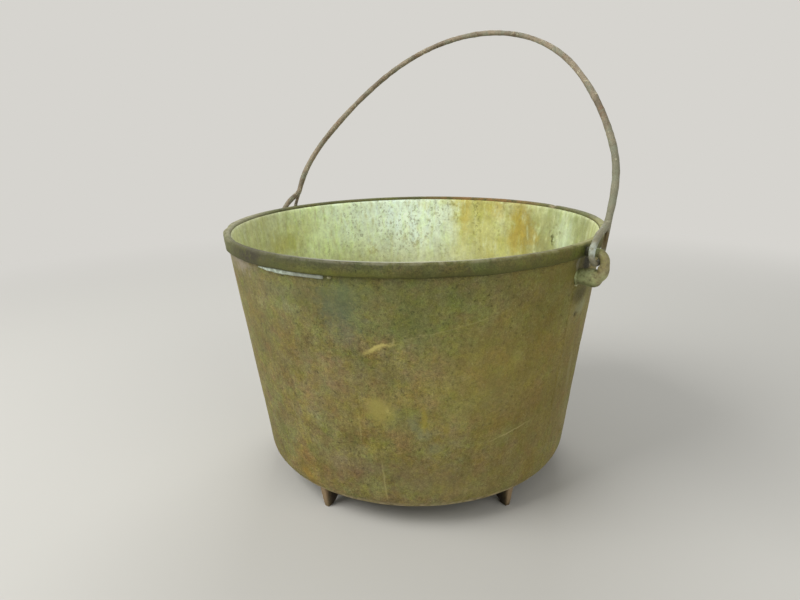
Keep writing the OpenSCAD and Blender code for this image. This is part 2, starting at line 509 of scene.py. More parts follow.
def srgb(red, green, blue):
    """A colour given as it looks on a screen, 0 to 255"""
    def linear(value):
        share = value / 255
        return share / 12.92 if share <= 0.04045 else ((share + 0.055) / 1.055) ** 2.4
    return (linear(red), linear(green), linear(blue), 1)


def cast_skin(finish, dark, middle, light, rust):
    """Mottled old iron: its colour, and the height and roughness of its grain"""
    place = finish.place
    broad = finish.noise(place, 60 * MM, 4, 0.55)
    patch = finish.noise(finish.shifted(place, (0.31, 0.17, 0.05)), 14 * MM, 5, 0.65)
    grain = finish.noise(place, 2.4 * MM, 4, 0.7)
    dust = finish.noise(finish.shifted(place, (0.5, 0.2, 0.1)), 0.9 * MM, 2, 0.6)
    tone = broad * 0.5 + patch * 0.5
    colour = finish.mix(tone.ramp(0.34, 0.54), dark, middle)
    colour = finish.mix(tone.ramp(0.46, 0.68), colour, light)
    stain = finish.noise(finish.shifted(place, (0.7, 0.4, 0.9)), 30 * MM, 5, 0.65)
    colour = finish.mix(stain.ramp(0.48, 0.68) * 0.4, colour, rust)
    colour = finish.blotched(colour, place, [
        ((0.9, 0.1, 0.6), 12 * MM, (1.00, 1.02, 1.26, 1)),
        ((0.2, 0.7, 0.8), 12 * MM, (1.08, 1.12, 0.74, 1)),
        ((0.6, 0.5, 0.1), 14 * MM, (0.88, 0.78, 0.87, 1)),
        ((0.4, 0.8, 0.3), 22 * MM, (1.08, 0.90, 0.99, 1)),
        ((0.8, 0.3, 0.5), 18 * MM, (0.92, 1.10, 0.96, 1)),
    ])
    colour = finish.shade(colour, grain * 1.75 + dust * 1.55 - 0.63)
    pits = grain.ramp(0.36, 0.28)
    colour = finish.mix(pits * 0.22, colour, srgb(60, 54, 30))
    height = grain * 0.7 + dust * 0.3 - pits * 0.4
    roughness = 0.5 + patch * 0.3
    return colour, height, roughness


def wall_finish():
    """Olive-brown patina of the casting, with its scuffs, smears and scratches, and painted shade and
    painted light on the wall by the right ear
    """
    finish = Finish("wall_iron", Metallic=0.0, Specular_IOR_Level=0.22)
    colour, height, roughness = cast_skin(
        finish, srgb(106, 98, 51), srgb(121, 113, 66), srgb(136, 129, 84), srgb(124, 107, 66))
    wall, z = finish.round_wall(wall_radius(110 * MM), FACING)
    pushes = finish.pushes(7 * MM)
    fine, ragged, loose = [
        finish.shifted(wall, finish.stretched(pushes, (sway, sway, 0))) for sway in (3 * MM, 8 * MM, 34 * MM)
    ]

    drips = finish.noise(finish.stretched(finish.place, (1, 1, 0.1)), 5 * MM, 4, 0.6)
    colour = finish.shade(colour, drips * 0.4 + 0.8)
    washes = [  # azimuth, height, half length, half width, strength and colour of broad soft stains
        (-8, 110, 60, 110, 0.45, srgb(122, 107, 50)),
        (-52, 163, 20, 12, 0.30, srgb(92, 106, 66)),
        (-68.7, 171, 11, 14, 0.55, srgb(90, 100, 88)),
        (-73, 178, 5, 18, 0.30, srgb(98, 104, 90)),
        (-56, 188, 60, 11, 0.35, srgb(92, 98, 64)),
        (-95, 170, 30, 40, 0.20, srgb(126, 120, 88)),
        (-116, 190, 26, 7, 0.55, srgb(138, 132, 110)),
        (-106, 193, 14, 5, 0.60, srgb(158, 148, 136)),
        (-6, 190, 40, 12, 0.35, srgb(96, 88, 40)),
        (-7, 167, 20, 16, 0.40, srgb(84, 78, 26)),
        (-74, 179, 30, 11, 0.30, srgb(92, 92, 58)),
        (-34, 124, 34, 34, 0.28, srgb(140, 130, 78)),
        (-38, 36, 30, 10, 0.30, srgb(136, 126, 82)),
        (-27, 107, 10, 14, 0.22, srgb(96, 104, 66)),
        (-55, 92, 16, 15, 0.25, srgb(108, 112, 78)),
        (-75, 110, 16, 20, 0.20, srgb(128, 116, 82)),
        (-62, 125, 22, 10, 0.20, srgb(112, 102, 72)),
        (-54, 46, 30, 14, 0.25, srgb(124, 110, 80)),
        (-76, 48, 14, 12, 0.20, srgb(130, 108, 78)),
    ]
    colour = finish.stained(colour, loose, washes, 0.9)
    tints = [  # azimuth, height, half length, half width and tint of broad shifts of hue
        (-45, 178, 95, 32, (0.92, 1.03, 0.95, 1)),
        (-91, 179, 16, 12, (0.95, 1.00, 1.12, 1)),
        (-65, 187, 12, 8, (1.16, 1.20, 1.30, 1)),
        (-67, 145, 10, 12, (0.94, 1.00, 1.14, 1)),
        (-30, 122, 32, 34, (1.15, 1.15, 1.00, 1)),
        (-57, 92, 34, 24, (1.15, 1.15, 1.02, 1)),
        (-8, 140, 20, 50, (1.00, 1.00, 0.84, 1)),
        (-89, 38, 16, 14, (1.16, 0.97, 0.80, 1)),
        (-71, 47, 14, 12, (0.88, 0.83, 0.90, 1)),
    ]
    colour = finish.tinted(colour, loose, tints, 0.9)
    straw, lichen = srgb(192, 180, 108), srgb(160, 150, 80)
    steel, slate = srgb(138, 144, 112), srgb(126, 134, 112)
    marks = [  # azimuth, height, half length, half width, tilt, strength and colour of ragged marks, a few of them painted shade and painted light by the right ear
        (-60.4, 146.4, 6.5, 1.6, 22, 0.75, straw),
        (-57.4, 149.0, 5, 1.3, 14, 0.60, straw),
        # painted shadow of the right ear's arm on the wall beneath it
        (4.5, 167, 11, 6.5, 0, 0.75, srgb(62, 58, 22)),
        # painted shade on the wall under the band, beside the bail's right eye
        (5.2, 189, 8, 9, 0, 1.00, srgb(36, 33, 0)),
        # two pale upright streaks: painted light on the wall beside the right ear's bar
        (-0.8, 191, 1.4, 5, 0, 0.55, srgb(156, 152, 130)),
        (7.9, 188, 1.0, 4, 0, 0.55, srgb(150, 146, 120)),
        (-61.0, 101.5, 8, 8.5, 0, 0.58, lichen),
        (-59.2, 99.5, 8, 8.5, 0, 0.48, lichen),
        (-58, 100, 1.2, 2.4, 0, 0.35, straw),
        (-50.5, 90, 3.5, 6, 20, 0.30, slate),
        (-47.5, 82, 4.5, 4, -30, 0.28, slate),
        (-44, 70, 6, 4, 20, 0.30, slate),
        (-47.4, 93, 2, 10, 0, 0.45, srgb(164, 150, 52)),
        (-41, 84, 2, 8, 0, 0.30, srgb(152, 140, 60)),
        (-67, 92, 3, 9, 0, 0.25, lichen),
        (-90.5, 29, 8, 5, -30, 0.40, srgb(156, 128, 50)),
        (6.5, 155.5, 10, 5, 0, 0.48, steel),
        (8, 104, 3, 20, 8, 0.35, srgb(146, 140, 100)),
        (0.3, 175.7, 1.6, 1.4, 0, 0.80, srgb(196, 196, 150)),
        (3.3, 151.5, 2.2, 1.8, 0, 0.80, srgb(52, 46, 20)),
    ]
    colour = finish.stained(colour, ragged, marks, 0.6)
    bare = srgb(176, 168, 112)
    scratches = [  # azimuth, height, half length, half width, tilt, strength and colour
        (-41, 160, 32, 0.5, 13, 0.22, bare),
        (-20, 74, 16, 0.5, 13, 0.50, bare),
        (-60, 40, 15, 0.6, 94, 0.42, bare),
        (-45.5, 153, 6, 0.5, 105, 0.22, bare),
        (-55.4, 152.6, 2.2, 0.6, 80, 0.45, bare),
        (-66.5, 84, 12, 0.5, 88, 0.22, bare),
    ]
    colour = finish.stained(colour, fine, scratches, 0.7)
    flecks = finish.noise(finish.shifted(finish.place, (0.2, 0.6, 0.3)), 1.9 * MM, 3, 0.6)
    colour = finish.mix(flecks.ramp(0.62, 0.72) * 0.35, colour, srgb(164, 158, 112))
    chipped = finish.noise(finish.place, 6 * MM, 4, 0.65)
    heel = finish.from_axis().ramp(BASE_R - 10 * MM, BASE_R - 5 * MM)
    edge = z.ramp(FOOT_H + 10.0 * MM, FOOT_H + 5.5 * MM) * heel
    colour = finish.mix(edge * chipped.ramp(0.38, 0.6) * 0.85, colour, srgb(180, 166, 130))
    finish.feed(Base_Color=colour, Roughness=roughness)
    finish.bumps(height, 0.9 * MM)
    return finish.material


def band_finish():
    """Darker iron of the rim band: painted shade along its lower edge, painted light over its upper part,
    rubbed light and a painted highlight along its crest, and a pale painted highlight over the near side's
    inner lip
    """
    finish = Finish("band_iron", Metallic=0.0, Specular_IOR_Level=0.3)
    colour, height, roughness = cast_skin(
        finish, srgb(70, 72, 33), srgb(86, 88, 44), srgb(102, 105, 60), srgb(96, 86, 46))
    wall, z = finish.round_wall(RIM_R, FACING)
    from_axis = finish.from_axis()
    rubbed = finish.noise(finish.place, 9 * MM, 4, 0.65)
    # painted shade along the band's lower edge, and painted light over its upper part
    low = z.ramp(BAND_LOW + 6 * MM, BAND_LOW + 1 * MM)
    colour = finish.mix(low * 0.7, colour, srgb(66, 67, 22))
    high = z.ramp(BAND_LOW + 4 * MM, RIM_TOP - 1 * MM)
    colour = finish.mix(high * rubbed.ramp(0.3, 0.6) * 0.22, colour, srgb(114, 118, 86))
    facing = finish.spot(wall, -58, RIM_TOP, 66 * MM, 60 * MM, 0, 0.6)
    worn = finish.spot(wall, -138, RIM_TOP, 62 * MM, 30 * MM, 0, 0.5)
    top = z.ramp(RIM_TOP - 2.0 * MM, RIM_TOP - 0.8 * MM)
    # lighter along the crest: partly rubbed wear, partly painted highlight
    crest = top * from_axis.ramp(RIM_R - 3.0 * MM, RIM_R - 1.4 * MM)
    colour = finish.mix(crest * rubbed.ramp(0.4, 0.62) * 0.45, colour, srgb(148, 144, 118))
    # pale over the inner lip on the near side only: painted highlight
    lip = top * from_axis.ramp(RIM_R - 1.6 * MM, RIM_R - 3.0 * MM)
    colour = finish.mix(lip * facing * (0.4 + rubbed * 0.9), colour, srgb(182, 184, 158))
    colour = finish.mix(worn * (0.5 + top * 0.3) * rubbed.ramp(0.25, 0.55), colour, srgb(146, 144, 116))
    right_end = finish.spot(wall, 18, RIM_TOP, 60 * MM, 30 * MM, 0, 0.5)
    colour = finish.mix(right_end * top * rubbed.ramp(0.2, 0.55) * 0.7, colour, srgb(160, 160, 108))
    pale = finish.spot(wall, -17, RIM_TOP - 4 * MM, 46 * MM, 12 * MM, 0, 0.7)
    colour = finish.mix(pale * 0.15, colour, srgb(124, 120, 66))
    dark = finish.spot(wall, -98, RIM_TOP, 60 * MM, 14 * MM, 0, 0.8)
    colour = finish.mix(dark * 0.55, colour, srgb(72, 72, 42))
    bruise = finish.spot(wall, -97.5, RIM_TOP - 4 * MM, 16 * MM, 5 * MM, 0, 0.7)
    colour = finish.mix(bruise * rubbed.ramp(0.3, 0.52) * 0.85, colour, srgb(54, 48, 40))
    rusty = finish.spot(wall, 100, RIM_TOP, 55 * MM, 20 * MM, 0, 0.6)
    colour = finish.mix(rusty * rubbed.ramp(0.35, 0.55) * 0.6, colour, srgb(142, 98, 48))
    tints = [  # azimuth, height, half length, half width and tint of shifts of hue
        (-72, RIM_TOP / MM - 1, 46, 3.5, (0.78, 0.79, 0.92, 1)),
        (-69, BAND_LOW / MM + 0.5, 34, 4, (1.60, 1.60, 1.45, 1)),
        (-2, BAND_LOW / MM + 2, 60, 8, (0.90, 0.90, 0.55, 1)),
    ]
    colour = finish.tinted(colour, wall, tints, 0.8)
    nick = finish.spot(wall, 69.5, RIM_TOP, 4 * MM, 3 * MM, 0, 0.6)
    colour = finish.mix(nick * rubbed.ramp(0.3, 0.5) * 0.6, colour, srgb(190, 172, 144))
    finish.feed(Base_Color=colour, Roughness=roughness)
    finish.bumps(height, 0.8 * MM)
    return finish.material


def ear_finish():
    """Rubbed grey-green iron of the ears, olive at the root, with painted light over the arm, painted shade
    under it, and painted shade where the bar meets the band
    """
    finish = Finish("ear_iron", Metallic=0.0, Specular_IOR_Level=0.45)
    colour, height, roughness = cast_skin(
        finish, srgb(96, 98, 54), srgb(120, 123, 76), srgb(150, 154, 108), srgb(112, 100, 58))
    rubbed = finish.noise(finish.place, 5 * MM, 4, 0.65)
    colour = finish.mix(rubbed.ramp(0.52, 0.66) * 0.6, colour, srgb(168, 174, 132))
    colour = finish.mix(rubbed.ramp(0.46, 0.34) * 0.55, colour, srgb(70, 68, 36))
    x, _, z = finish.axes(finish.place)
    out = x.maths("ABSOLUTE", x)
    root = out.ramp(wall_radius(ARM_Z) + 4.5 * MM, wall_radius(ARM_Z) + 1.5 * MM)
    colour = finish.mix(root * 0.6, colour, srgb(122, 122, 76))
    # painted light over the arm
    arm = z.ramp(ARM_Z + ARM_R, ARM_Z + 2 * MM)
    colour = finish.mix(arm * rubbed.ramp(0.3, 0.6) * 0.8, colour, srgb(180, 192, 138))
    # painted shade under the arm
    under = z.ramp(ARM_Z - 1 * MM, ARM_Z - 5 * MM)
    colour = finish.mix(under * 0.6, colour, srgb(84, 84, 40))
    horn = out.ramp(HORN_X - 6 * MM, HORN_X - 2 * MM)
    colour = finish.mix(horn * 0.5, colour, srgb(132, 119, 86))
    # painted shade where the bar meets the band
    shade = out.ramp(RIM_R + 6 * MM, RIM_R + 3 * MM) * z.ramp(HINGE_Z - 8 * MM, HINGE_Z - 5 * MM)
    colour = finish.mix(shade * 0.85, colour, srgb(44, 42, 24))
    finish.feed(Base_Color=colour, Roughness=roughness)
    finish.bumps(height, 0.6 * MM)
    return finish.material


def foot_finish():
    """Dark brown iron of the feet, with a painted highlight along their outer edges and painted shade over
    their inner parts
    """
    finish = Finish("foot_iron", Metallic=0.0, Specular_IOR_Level=0.3)
    colour, height, roughness = cast_skin(
        finish, srgb(58, 48, 30), srgb(78, 66, 42), srgb(98, 88, 62), srgb(84, 62, 38))
    from_axis = finish.from_axis()
    # painted highlight along the outer edge of each foot
    rim = from_axis.ramp(FOOT_TIP_R - 1.5 * MM, FOOT_TIP_R + 1.5 * MM)
    colour = finish.mix(rim * 0.75, colour, srgb(152, 130, 100))
    # painted shade over the inner part of each foot
    inside = from_axis.ramp(FOOT_TIP_R - 0.5 * MM, FOOT_TIP_R - 5 * MM)
    colour = finish.mix(inside * 0.85, colour, srgb(30, 22, 12))
    finish.feed(Base_Color=colour, Roughness=roughness)
    finish.bumps(height, 0.6 * MM)
    return finish.material


def lining_finish():
    """Pale lining with fine dark specks, upright streaks and runs of rust"""
    finish = Finish("pale_lining", Metallic=0.0, Specular_IOR_Level=0.35)
    wall, z = finish.round_wall(inner_radius(170 * MM), FACING + pi)
    upright = finish.stretched(finish.place, (1, 1, 0.3))
    clouds = finish.noise(finish.place, 30 * MM, 5, 0.6)
    streaks = finish.noise(upright, 6 * MM, 4, 0.6)
    grain = finish.noise(finish.place, 2.4 * MM, 3, 0.65)
    runs = finish.noise(finish.stretched(finish.place, (1, 1, 0.12)), 14 * MM, 4, 0.6)
    tone = (clouds * 0.5 + streaks * 0.5).ramp(0.36, 0.64)
    colour = finish.mix(tone, srgb(190, 193, 143), srgb(209, 217, 176))
    loose = finish.shifted(wall, finish.stretched(finish.pushes(10 * MM), (26 * MM, 40 * MM, 0)))
    chalk, cream, straw = srgb(230, 248, 230), srgb(230, 248, 192), srgb(178, 180, 122)
    ochre, umber, olive = srgb(180, 174, 72), srgb(150, 136, 54), srgb(142, 140, 86)
    sage, rust = srgb(160, 175, 126), srgb(182, 157, 64)
    washes = [  # azimuth, height, half length, half width, strength and colour of soft stains
        (168, 186, 50, 50, 0.95, cream), (130, 186, 46, 46, 0.90, chalk),
        (155, 192, 34, 26, 0.55, chalk), (-150, 180, 50, 40, 0.50, straw),
        (130, 140, 90, 18, 0.30, straw), (58, 184, 48, 36, 0.70, sage),
        (93, 182, 50, 40, 0.32, ochre), (103, 192, 16, 26, 0.60, ochre),
        (112, 204, 16, 5, 0.55, ochre), (97, 202, 16, 7, 0.50, umber),
        (110, 182, 9, 34, 0.50, ochre), (83, 177, 14, 22, 0.90, umber),
        (86, 195, 9, 14, 0.45, umber), (73, 166, 22, 24, 0.80, olive),
        (46, 184, 24, 24, 0.50, olive), (148.3, 156.7, 4, 4, 0.55, umber),
        (129.5, 156.7, 3.5, 3.5, 0.50, umber), (-171, 173, 22, 13, 0.50, ochre),
        (93, 158, 26, 14, 0.45, ochre), (178, 185, 10, 12, 0.25, ochre),
        (59, 178, 12, 18, 0.28, chalk), (66, 177, 3, 6, 1.00, srgb(84, 82, 46)),
        (140, 190, 14, 16, 0.80, chalk), (109, 190, 5, 18, 0.50, rust),
        (84, 178, 9, 20, 0.55, rust), (77, 175, 6, 8, 0.50, rust),
        (96, 196, 7, 8, 0.40, rust), (20, 150, 12, 40, 0.40, ochre),
        (-60, 170, 16, 30, 0.40, umber), (-110, 150, 10, 40, 0.35, ochre),
    ]
    stains = finish.noise(finish.shifted(upright, (0.4, 0.1, 0.7)), 6 * MM, 4, 0.65)
    colour = finish.stained(colour, loose, washes, 0.8, stains.ramp(0.23, 0.52))
    colour = finish.blotched(colour, upright, [
        ((0.2, 0.6, 0.9), 7 * MM, (0.96, 1.00, 0.80, 1)),
        ((0.7, 0.2, 0.4), 6 * MM, (1.03, 1.05, 1.16, 1)),
    ])
    specks = finish.noise(finish.shifted(finish.place, (0.1, 0.9, 0.4)), 3 * MM, 5, 0.75).ramp(0.53, 0.62)
    cluster = finish.noise(finish.shifted(upright, (0.3, 0.5, 0.2)), 15 * MM, 3, 0.6).ramp(0.38, 0.57)
    crowd = finish.spot(loose, 142, 186 * MM, 95 * MM, 36 * MM, 0, 0.9) * 0.6 + 0.3
    crowd = crowd + finish.spot(loose, 101, 194 * MM, 26 * MM, 16 * MM, 0, 0.9) * 0.6
    specks = specks * cluster * crowd
    colour = finish.mix(specks * 0.55, colour, srgb(112, 96, 38))
    # darker and yellower towards the bottom
    lower_down = z.ramp(175 * MM, 70 * MM)
    colour = finish.mix(lower_down * 0.6, colour, srgb(182, 172, 130))
    bottom = z.ramp(60 * MM, FOOT_H + FLOOR_T)
    colour = finish.mix(bottom * 0.5, colour, srgb(150, 136, 98))
    blots = finish.noise(finish.shifted(finish.place, (0.9, 0.4, 0.2)), 8 * MM, 4, 0.65)
    colour = finish.shade(colour, grain * 0.5 + runs * 0.45 + streaks * 0.3 + blots * 0.6 + 0.075)
    finish.feed(Base_Color=colour, Roughness=0.5 + clouds * 0.25)
    finish.bumps(grain * 0.6 + streaks * 0.4 - specks * 0.5, 0.5 * MM)
    return finish.material


def rod_finish():
    """Rusty brown-grey rod, scaled and flecked with light, with painted shade between the strands of its
    right eye and a painted highlight on the near strand
    """
    finish = Finish("rod_iron", Metallic=0.0, Specular_IOR_Level=0.45)
    place = finish.place
    patch = finish.noise(place, 22 * MM, 5, 0.65)
    grain = finish.noise(place, 2.2 * MM, 4, 0.65)
    colour = finish.mix(patch.ramp(0.35, 0.6), srgb(102, 91, 73), srgb(140, 128, 108))
    rust = finish.noise(finish.shifted(place, (0.6, 0.3, 0.2)), 11 * MM, 4, 0.6).ramp(0.52, 0.68)
    colour = finish.mix(rust * 0.5, colour, srgb(124, 90, 62))
    dull = finish.noise(finish.shifted(place, (0.4, 0.1, 0.8)), 8 * MM, 4, 0.65).ramp(0.47, 0.62)
    colour = finish.mix(dull * 0.6, colour, srgb(120, 126, 108))
    colour = finish.shade(colour, grain * 1.2 + 0.4)
    scale = finish.noise(finish.shifted(place, (0.2, 0.8, 0.5)), 5 * MM, 4, 0.7).ramp(0.56, 0.65)
    colour = finish.mix(scale * 0.75, colour, srgb(192, 186, 158))
    x, _, z = finish.axes(place)
    leg = x.ramp(EYE_X - 40 * MM, EYE_X - 5 * MM) * z.ramp(HINGE_Z + 120 * MM, HINGE_Z + 50 * MM)
    colour = finish.mix(leg * 0.6, colour, srgb(123, 127, 106))
    # painted shade between the strands of the right eye
    for side, up in ((7.6 * MM, 4.7 * MM), (10.2 * MM, 9.0 * MM)):
        gap = finish.near((EYE_X + 1.5 * MM, side, HINGE_Z + up), 2.5 * MM, 5.5 * MM)
        colour = finish.mix(gap * 0.8, colour, srgb(88, 70, 22))
    # painted highlight on the near strand of the right eye
    bright = finish.near((EYE_X + 1.3 * MM, -4.8 * MM, HINGE_Z + 2 * MM), 2 * MM, 7 * MM)
    colour = finish.mix(bright * grain.ramp(0.35, 0.6) * 0.85, colour, srgb(190, 204, 196))
    finish.feed(Base_Color=colour, Roughness=0.45 + patch * 0.3 - bright * 0.25)
    finish.bumps(grain + scale * 0.5, 0.7 * MM)
    return finish.material


def bead_finish():
    """Bright metal of the bead under the band"""
    finish = Finish("bright_bead", Metallic=0.2, Specular_IOR_Level=0.5)
    grain = finish.noise(finish.place, 3 * MM, 4, 0.6)
    colour = finish.mix(grain.ramp(0.35, 0.65), srgb(150, 162, 144), srgb(204, 218, 204))
    wall, _ = finish.round_wall(RIM_R, FACING)
    dull = finish.spot(wall, -72, BAND_LOW, 30 * MM, 15 * MM, 0, 0.6)
    colour = finish.mix(dull * 0.7, colour, srgb(136, 138, 124))
    dot = finish.spot(wall, -70.6, BAND_LOW, 3 * MM, 6 * MM, 0, 0.3)
    colour = finish.mix(dot * 0.8, colour, srgb(136, 132, 84))
    finish.feed(Base_Color=colour, Roughness=0.3 + grain * 0.3)
    finish.bumps(grain, 0.25 * MM)
    return finish.material


WALL_IRON = wall_finish()
BAND_IRON = band_finish()
EAR_IRON = ear_finish()
FOOT_IRON = foot_finish()
PALE_LINING = lining_finish()
ROD_IRON = rod_finish()
BRIGHT_BEAD = bead_finish()


# The casting: wall, heel and floor in one skin

TURNS = 420
ROW_GAP = 2.6 * MM


def bucket_outline(low_r, low_z, top_z, heel):
    """Outline of a bucket from its axis, round its heel and up its sloping side"""
    centre_x = low_r + heel * TAPER - heel / cos(SLOPE)
    centre = (centre_x, low_z + heel)
    top_r = low_r + (top_z - low_z) * TAPER
    return [(0.0, low_z), *arc(centre, heel, -pi / 2, -SLOPE, 12), (top_r, top_z)]


def cast(azimuth, radius, z):
    """Casting out of true, less so towards the middle of the floor"""
    out = unevenness(azimuth, z) + lumps(CASTING_LUMPS, azimuth, z)
    return radius + out * min(1, radius / (0.9 * BASE_R)) ** 3, 0.0


def make_casting():
    """Wall, heel and floor in one skin, whose top edges hide inside the band"""
    hidden_top = BAND_LOW + 1 * MM
    outside = bucket_outline(BASE_R, FOOT_H, hidden_top, HEEL_R)
    floor_z = FOOT_H + FLOOR_T
    inside = bucket_outline(inner_radius(floor_z), floor_z, hidden_top, HEEL_R - WALL_T)
    outline = spaced(outside, ROW_GAP) + spaced(inside[::-1], 2 * ROW_GAP)
    verts, faces = lathe(outline, TURNS, False, cast)
    piece_from("casting", verts, faces, WALL_IRON, "cast_iron", replaced=("kettle_wall", "kettle_floor"))


def make_band():
    """Rounded band whose lower edge wanders"""
    low_r, top_r = inner_radius(BAND_LOW), inner_radius(RIM_TOP)
    edge, lip = BAND_EDGE_R, LIP_R
    outline = [
        (low_r, BAND_LOW),
        *arc((RIM_R - edge, BAND_LOW + edge), edge, -pi / 2, 0, 6),
        (RIM_R + BAND_BULGE, (BAND_LOW + RIM_TOP) / 2),
        *arc((RIM_R - edge, RIM_TOP - edge), edge, 0, pi / 2, 6),
        *arc((top_r + lip, RIM_TOP - lip), lip, pi / 2, pi, 5),
    ]

    def shape(azimuth, radius, z):
        turn = Vector((cos(azimuth), sin(azimuth), 0.3))
        lower = max(0, 1 - (z - BAND_LOW) / (RIM_TOP - BAND_LOW))
        lift = lower * rough_lumps(turn, BAND_EDGE_LUMPS)
        worn = BAND_WEAR * noise.noise(Vector((turn.x, turn.y, z * 60)) * 16)
        dent = lumps(BAND_LUMPS, azimuth, z)
        outer = clamped((radius - low_r) / (RIM_R - low_r))
        return radius + unevenness(azimuth, z) + (worn + dent) * outer, lift + 0.4 * dent * (1 - lower)

    verts, faces = lathe(spaced(outline + outline[:1], ROW_GAP)[:-1], TURNS, True, shape)
    piece_from("band", verts, faces, BAND_IRON, "rim_iron", replaced=("rim_band",))


def make_lining():
    """Thin coat over the inside that thins out under the rounded lip of the rim"""
    top = RIM_TOP - LIP_R
    floor_z = FOOT_H + FLOOR_T
    outer = bucket_outline(inner_radius(floor_z) + 0.3 * MM, floor_z, top, HEEL_R - WALL_T)
    coat_z = floor_z + LINING_T
    coat = bucket_outline(inner_radius(coat_z, LINING_T), coat_z, top - 5 * MM, HEEL_R - WALL_T - LINING_T)
    coat.append((inner_radius(top, 0.05 * MM), top))
    outline = spaced(outer, 2 * ROW_GAP) + spaced(coat[::-1], ROW_GAP)
    verts, faces = lathe(outline, TURNS, False, cast)
    piece_from("lining_coat", verts, faces, PALE_LINING, "pale_lining", replaced=("lining",))


# Ears, seams, feet and the bright bead

def make_ear(name, side):
    """D-shaped loop with a stout lower arm that flares into the wall"""
    arm_root = wall_radius(ARM_Z)
    loop = [(RIM_R - 3 * MM, HINGE_Z)]
    loop += arc((HORN_X - ELBOW_R, HINGE_Z - ELBOW_R), ELBOW_R, pi / 2, 0, 10)
    loop += arc((HORN_X - BEND_R, ARM_Z + BEND_R), BEND_R, 0, -pi / 2, 12)
    loop = spaced(loop, 1 * MM)
    swell = [BAR_R + LOOP_SWELL * clamped((HINGE_Z - SWELL_BELOW - z) / SWELL_RUN) for _, z in loop]
    arm_end = HORN_X - BEND_R + 0.5 * MM
    arm = spaced([(arm_end, ARM_Z), (arm_root + 2.5 * MM, ARM_Z)], 1 * MM)
    thick = [ARM_R - ARM_THINNED * clamped(1 - (x - arm_root) / ARM_THIN_RUN) for x, _ in arm]
    lump = (side * (HORN_X - 2.2 * MM), -2.6 * MM, ARM_Z + ARM_R + 0.8 * MM)
    foot = (side * (arm_root + 0.4 * MM), 0, ARM_Z - 1.0 * MM)
    verts, faces = joined(
        tube([(side * x, 0, z) for x, z in loop], swell, 20),
        tube([(side * x, 0, z) for x, z in arm], thick, 24, (ARM_FLAT, 1.0)),
        ball((side * arm_end, 0, ARM_Z), (ARM_R, ARM_FLAT * ARM_R, ARM_R)),
        ball(lump, (1.6 * MM, 1.6 * MM, 2.6 * MM)),
        ball(foot, (2.0 * MM, 4.7 * MM, 5.8 * MM)),
    )
    piece = piece_from(name + "_casting", verts, faces, EAR_IRON, "cast_iron", replaced=(name,))
    fused(piece, voxel=0.6 * MM, smoothing=3, grain=0.12 * MM, grain_size=3 * MM)


def make_seam(name, azimuth):
    """Low wandering ridge that the mould left on the wall"""
    heights = np.linspace(FOOT_H + HEEL_R + FLOOR_T, ARM_Z - 9 * MM, 90)
    path, radii = [], []
    for z in heights:
        wander = SEAM_WANDER * noise.noise(Vector((z * 60, azimuth, 0)))
        turned = azimuth + wander / RIM_R
        r = wall_radius(z) + unevenness(turned, z) + lumps(CASTING_LUMPS, turned, z) - SEAM_SUNK
        path.append((r * cos(turned), r * sin(turned), z))
        radii.append((3.2 + 0.9 * noise.noise(Vector((z * 150, 3, azimuth)))) * MM)
    verts, faces = tube(path, radii, 14, (1.0, SEAM_FLAT))
    piece_from(name + "_ridge", verts, faces, WALL_IRON, "cast_iron", replaced=(name,))


def make_foot(name, azimuth):
    """Upright fin that grows out of the heel along a radius"""
    heel_c = (BASE_R + HEEL_R * TAPER - HEEL_R / cos(SLOPE), FOOT_H + HEEL_R)
    root = arc(heel_c, HEEL_R - FOOT_SUNK, radians(-42), radians(-88), 6)
    inner = FOOT_TIP_R - FOOT_ROOT
    fin = [
        (FOOT_TIP_R, 0.0),
        *root,
        (inner, FOOT_H + FOOT_SUNK),
        (inner, FOOT_H - 1 * MM),
        (FOOT_TIP_R - FOOT_TIP, 0.0),
    ]
    turned = Matrix.Rotation(azimuth, 3, "Z")
    verts = []
    for side in (-1, 1):
        for r, z in fin:
            half = FOOT_T * (0.36 + 0.12 * min(1, z / FOOT_H))
            verts.append(turned @ Vector((r, side * half, z)))
    count = len(fin)
    faces = [tuple(range(count)), tuple(range(2 * count - 1, count - 1, -1))]
    faces += [(k, (k + 1) % count, count + (k + 1) % count, count + k) for k in range(count)]
    piece = piece_from(name + "_fin", verts, faces, FOOT_IRON, "cast_iron", replaced=(name,))
    fused(piece, voxel=0.7 * MM, smoothing=5, grain=0.2 * MM, grain_size=4 * MM, lowest=0.0)


def make_bead():
    """Bright crescent and dot of metal in the corner under the band"""
    start, end, dot = radians(-94.5), radians(-72.4), radians(-70.6)
    turns = np.linspace(start, end, 60)
    path, radii = [], []
    for i, a in enumerate(turns):
        r = wall_radius(BAND_LOW) + unevenness(a, BAND_LOW) + 0.5 * MM
        path.append((r * cos(a), r * sin(a), BAND_LOW - 1.5 * MM))
        swell = sin(pi / 2 * min(1, i / 26)) * (1 - 0.4 * i / (len(turns) - 1))
        radii.append((0.4 + 1.55 * swell + 0.25 * noise.noise(Vector((a * 30, 0, 2)))) * MM)
    r = wall_radius(BAND_LOW) + unevenness(dot, BAND_LOW) + 0.4 * MM
    blob = ball((r * cos(dot), r * sin(dot), BAND_LOW - 1.2 * MM), (1.4 * MM, 1.6 * MM, 1.3 * MM))
    piece_from("bead", *tube(path, radii, 14, (0.55, 1.0)), BRIGHT_BEAD, "cast_iron")
    piece_from("bead_dot", *blob, BRIGHT_BEAD, "cast_iron")


# The bail: one rod from tip to tip, bent round both ears

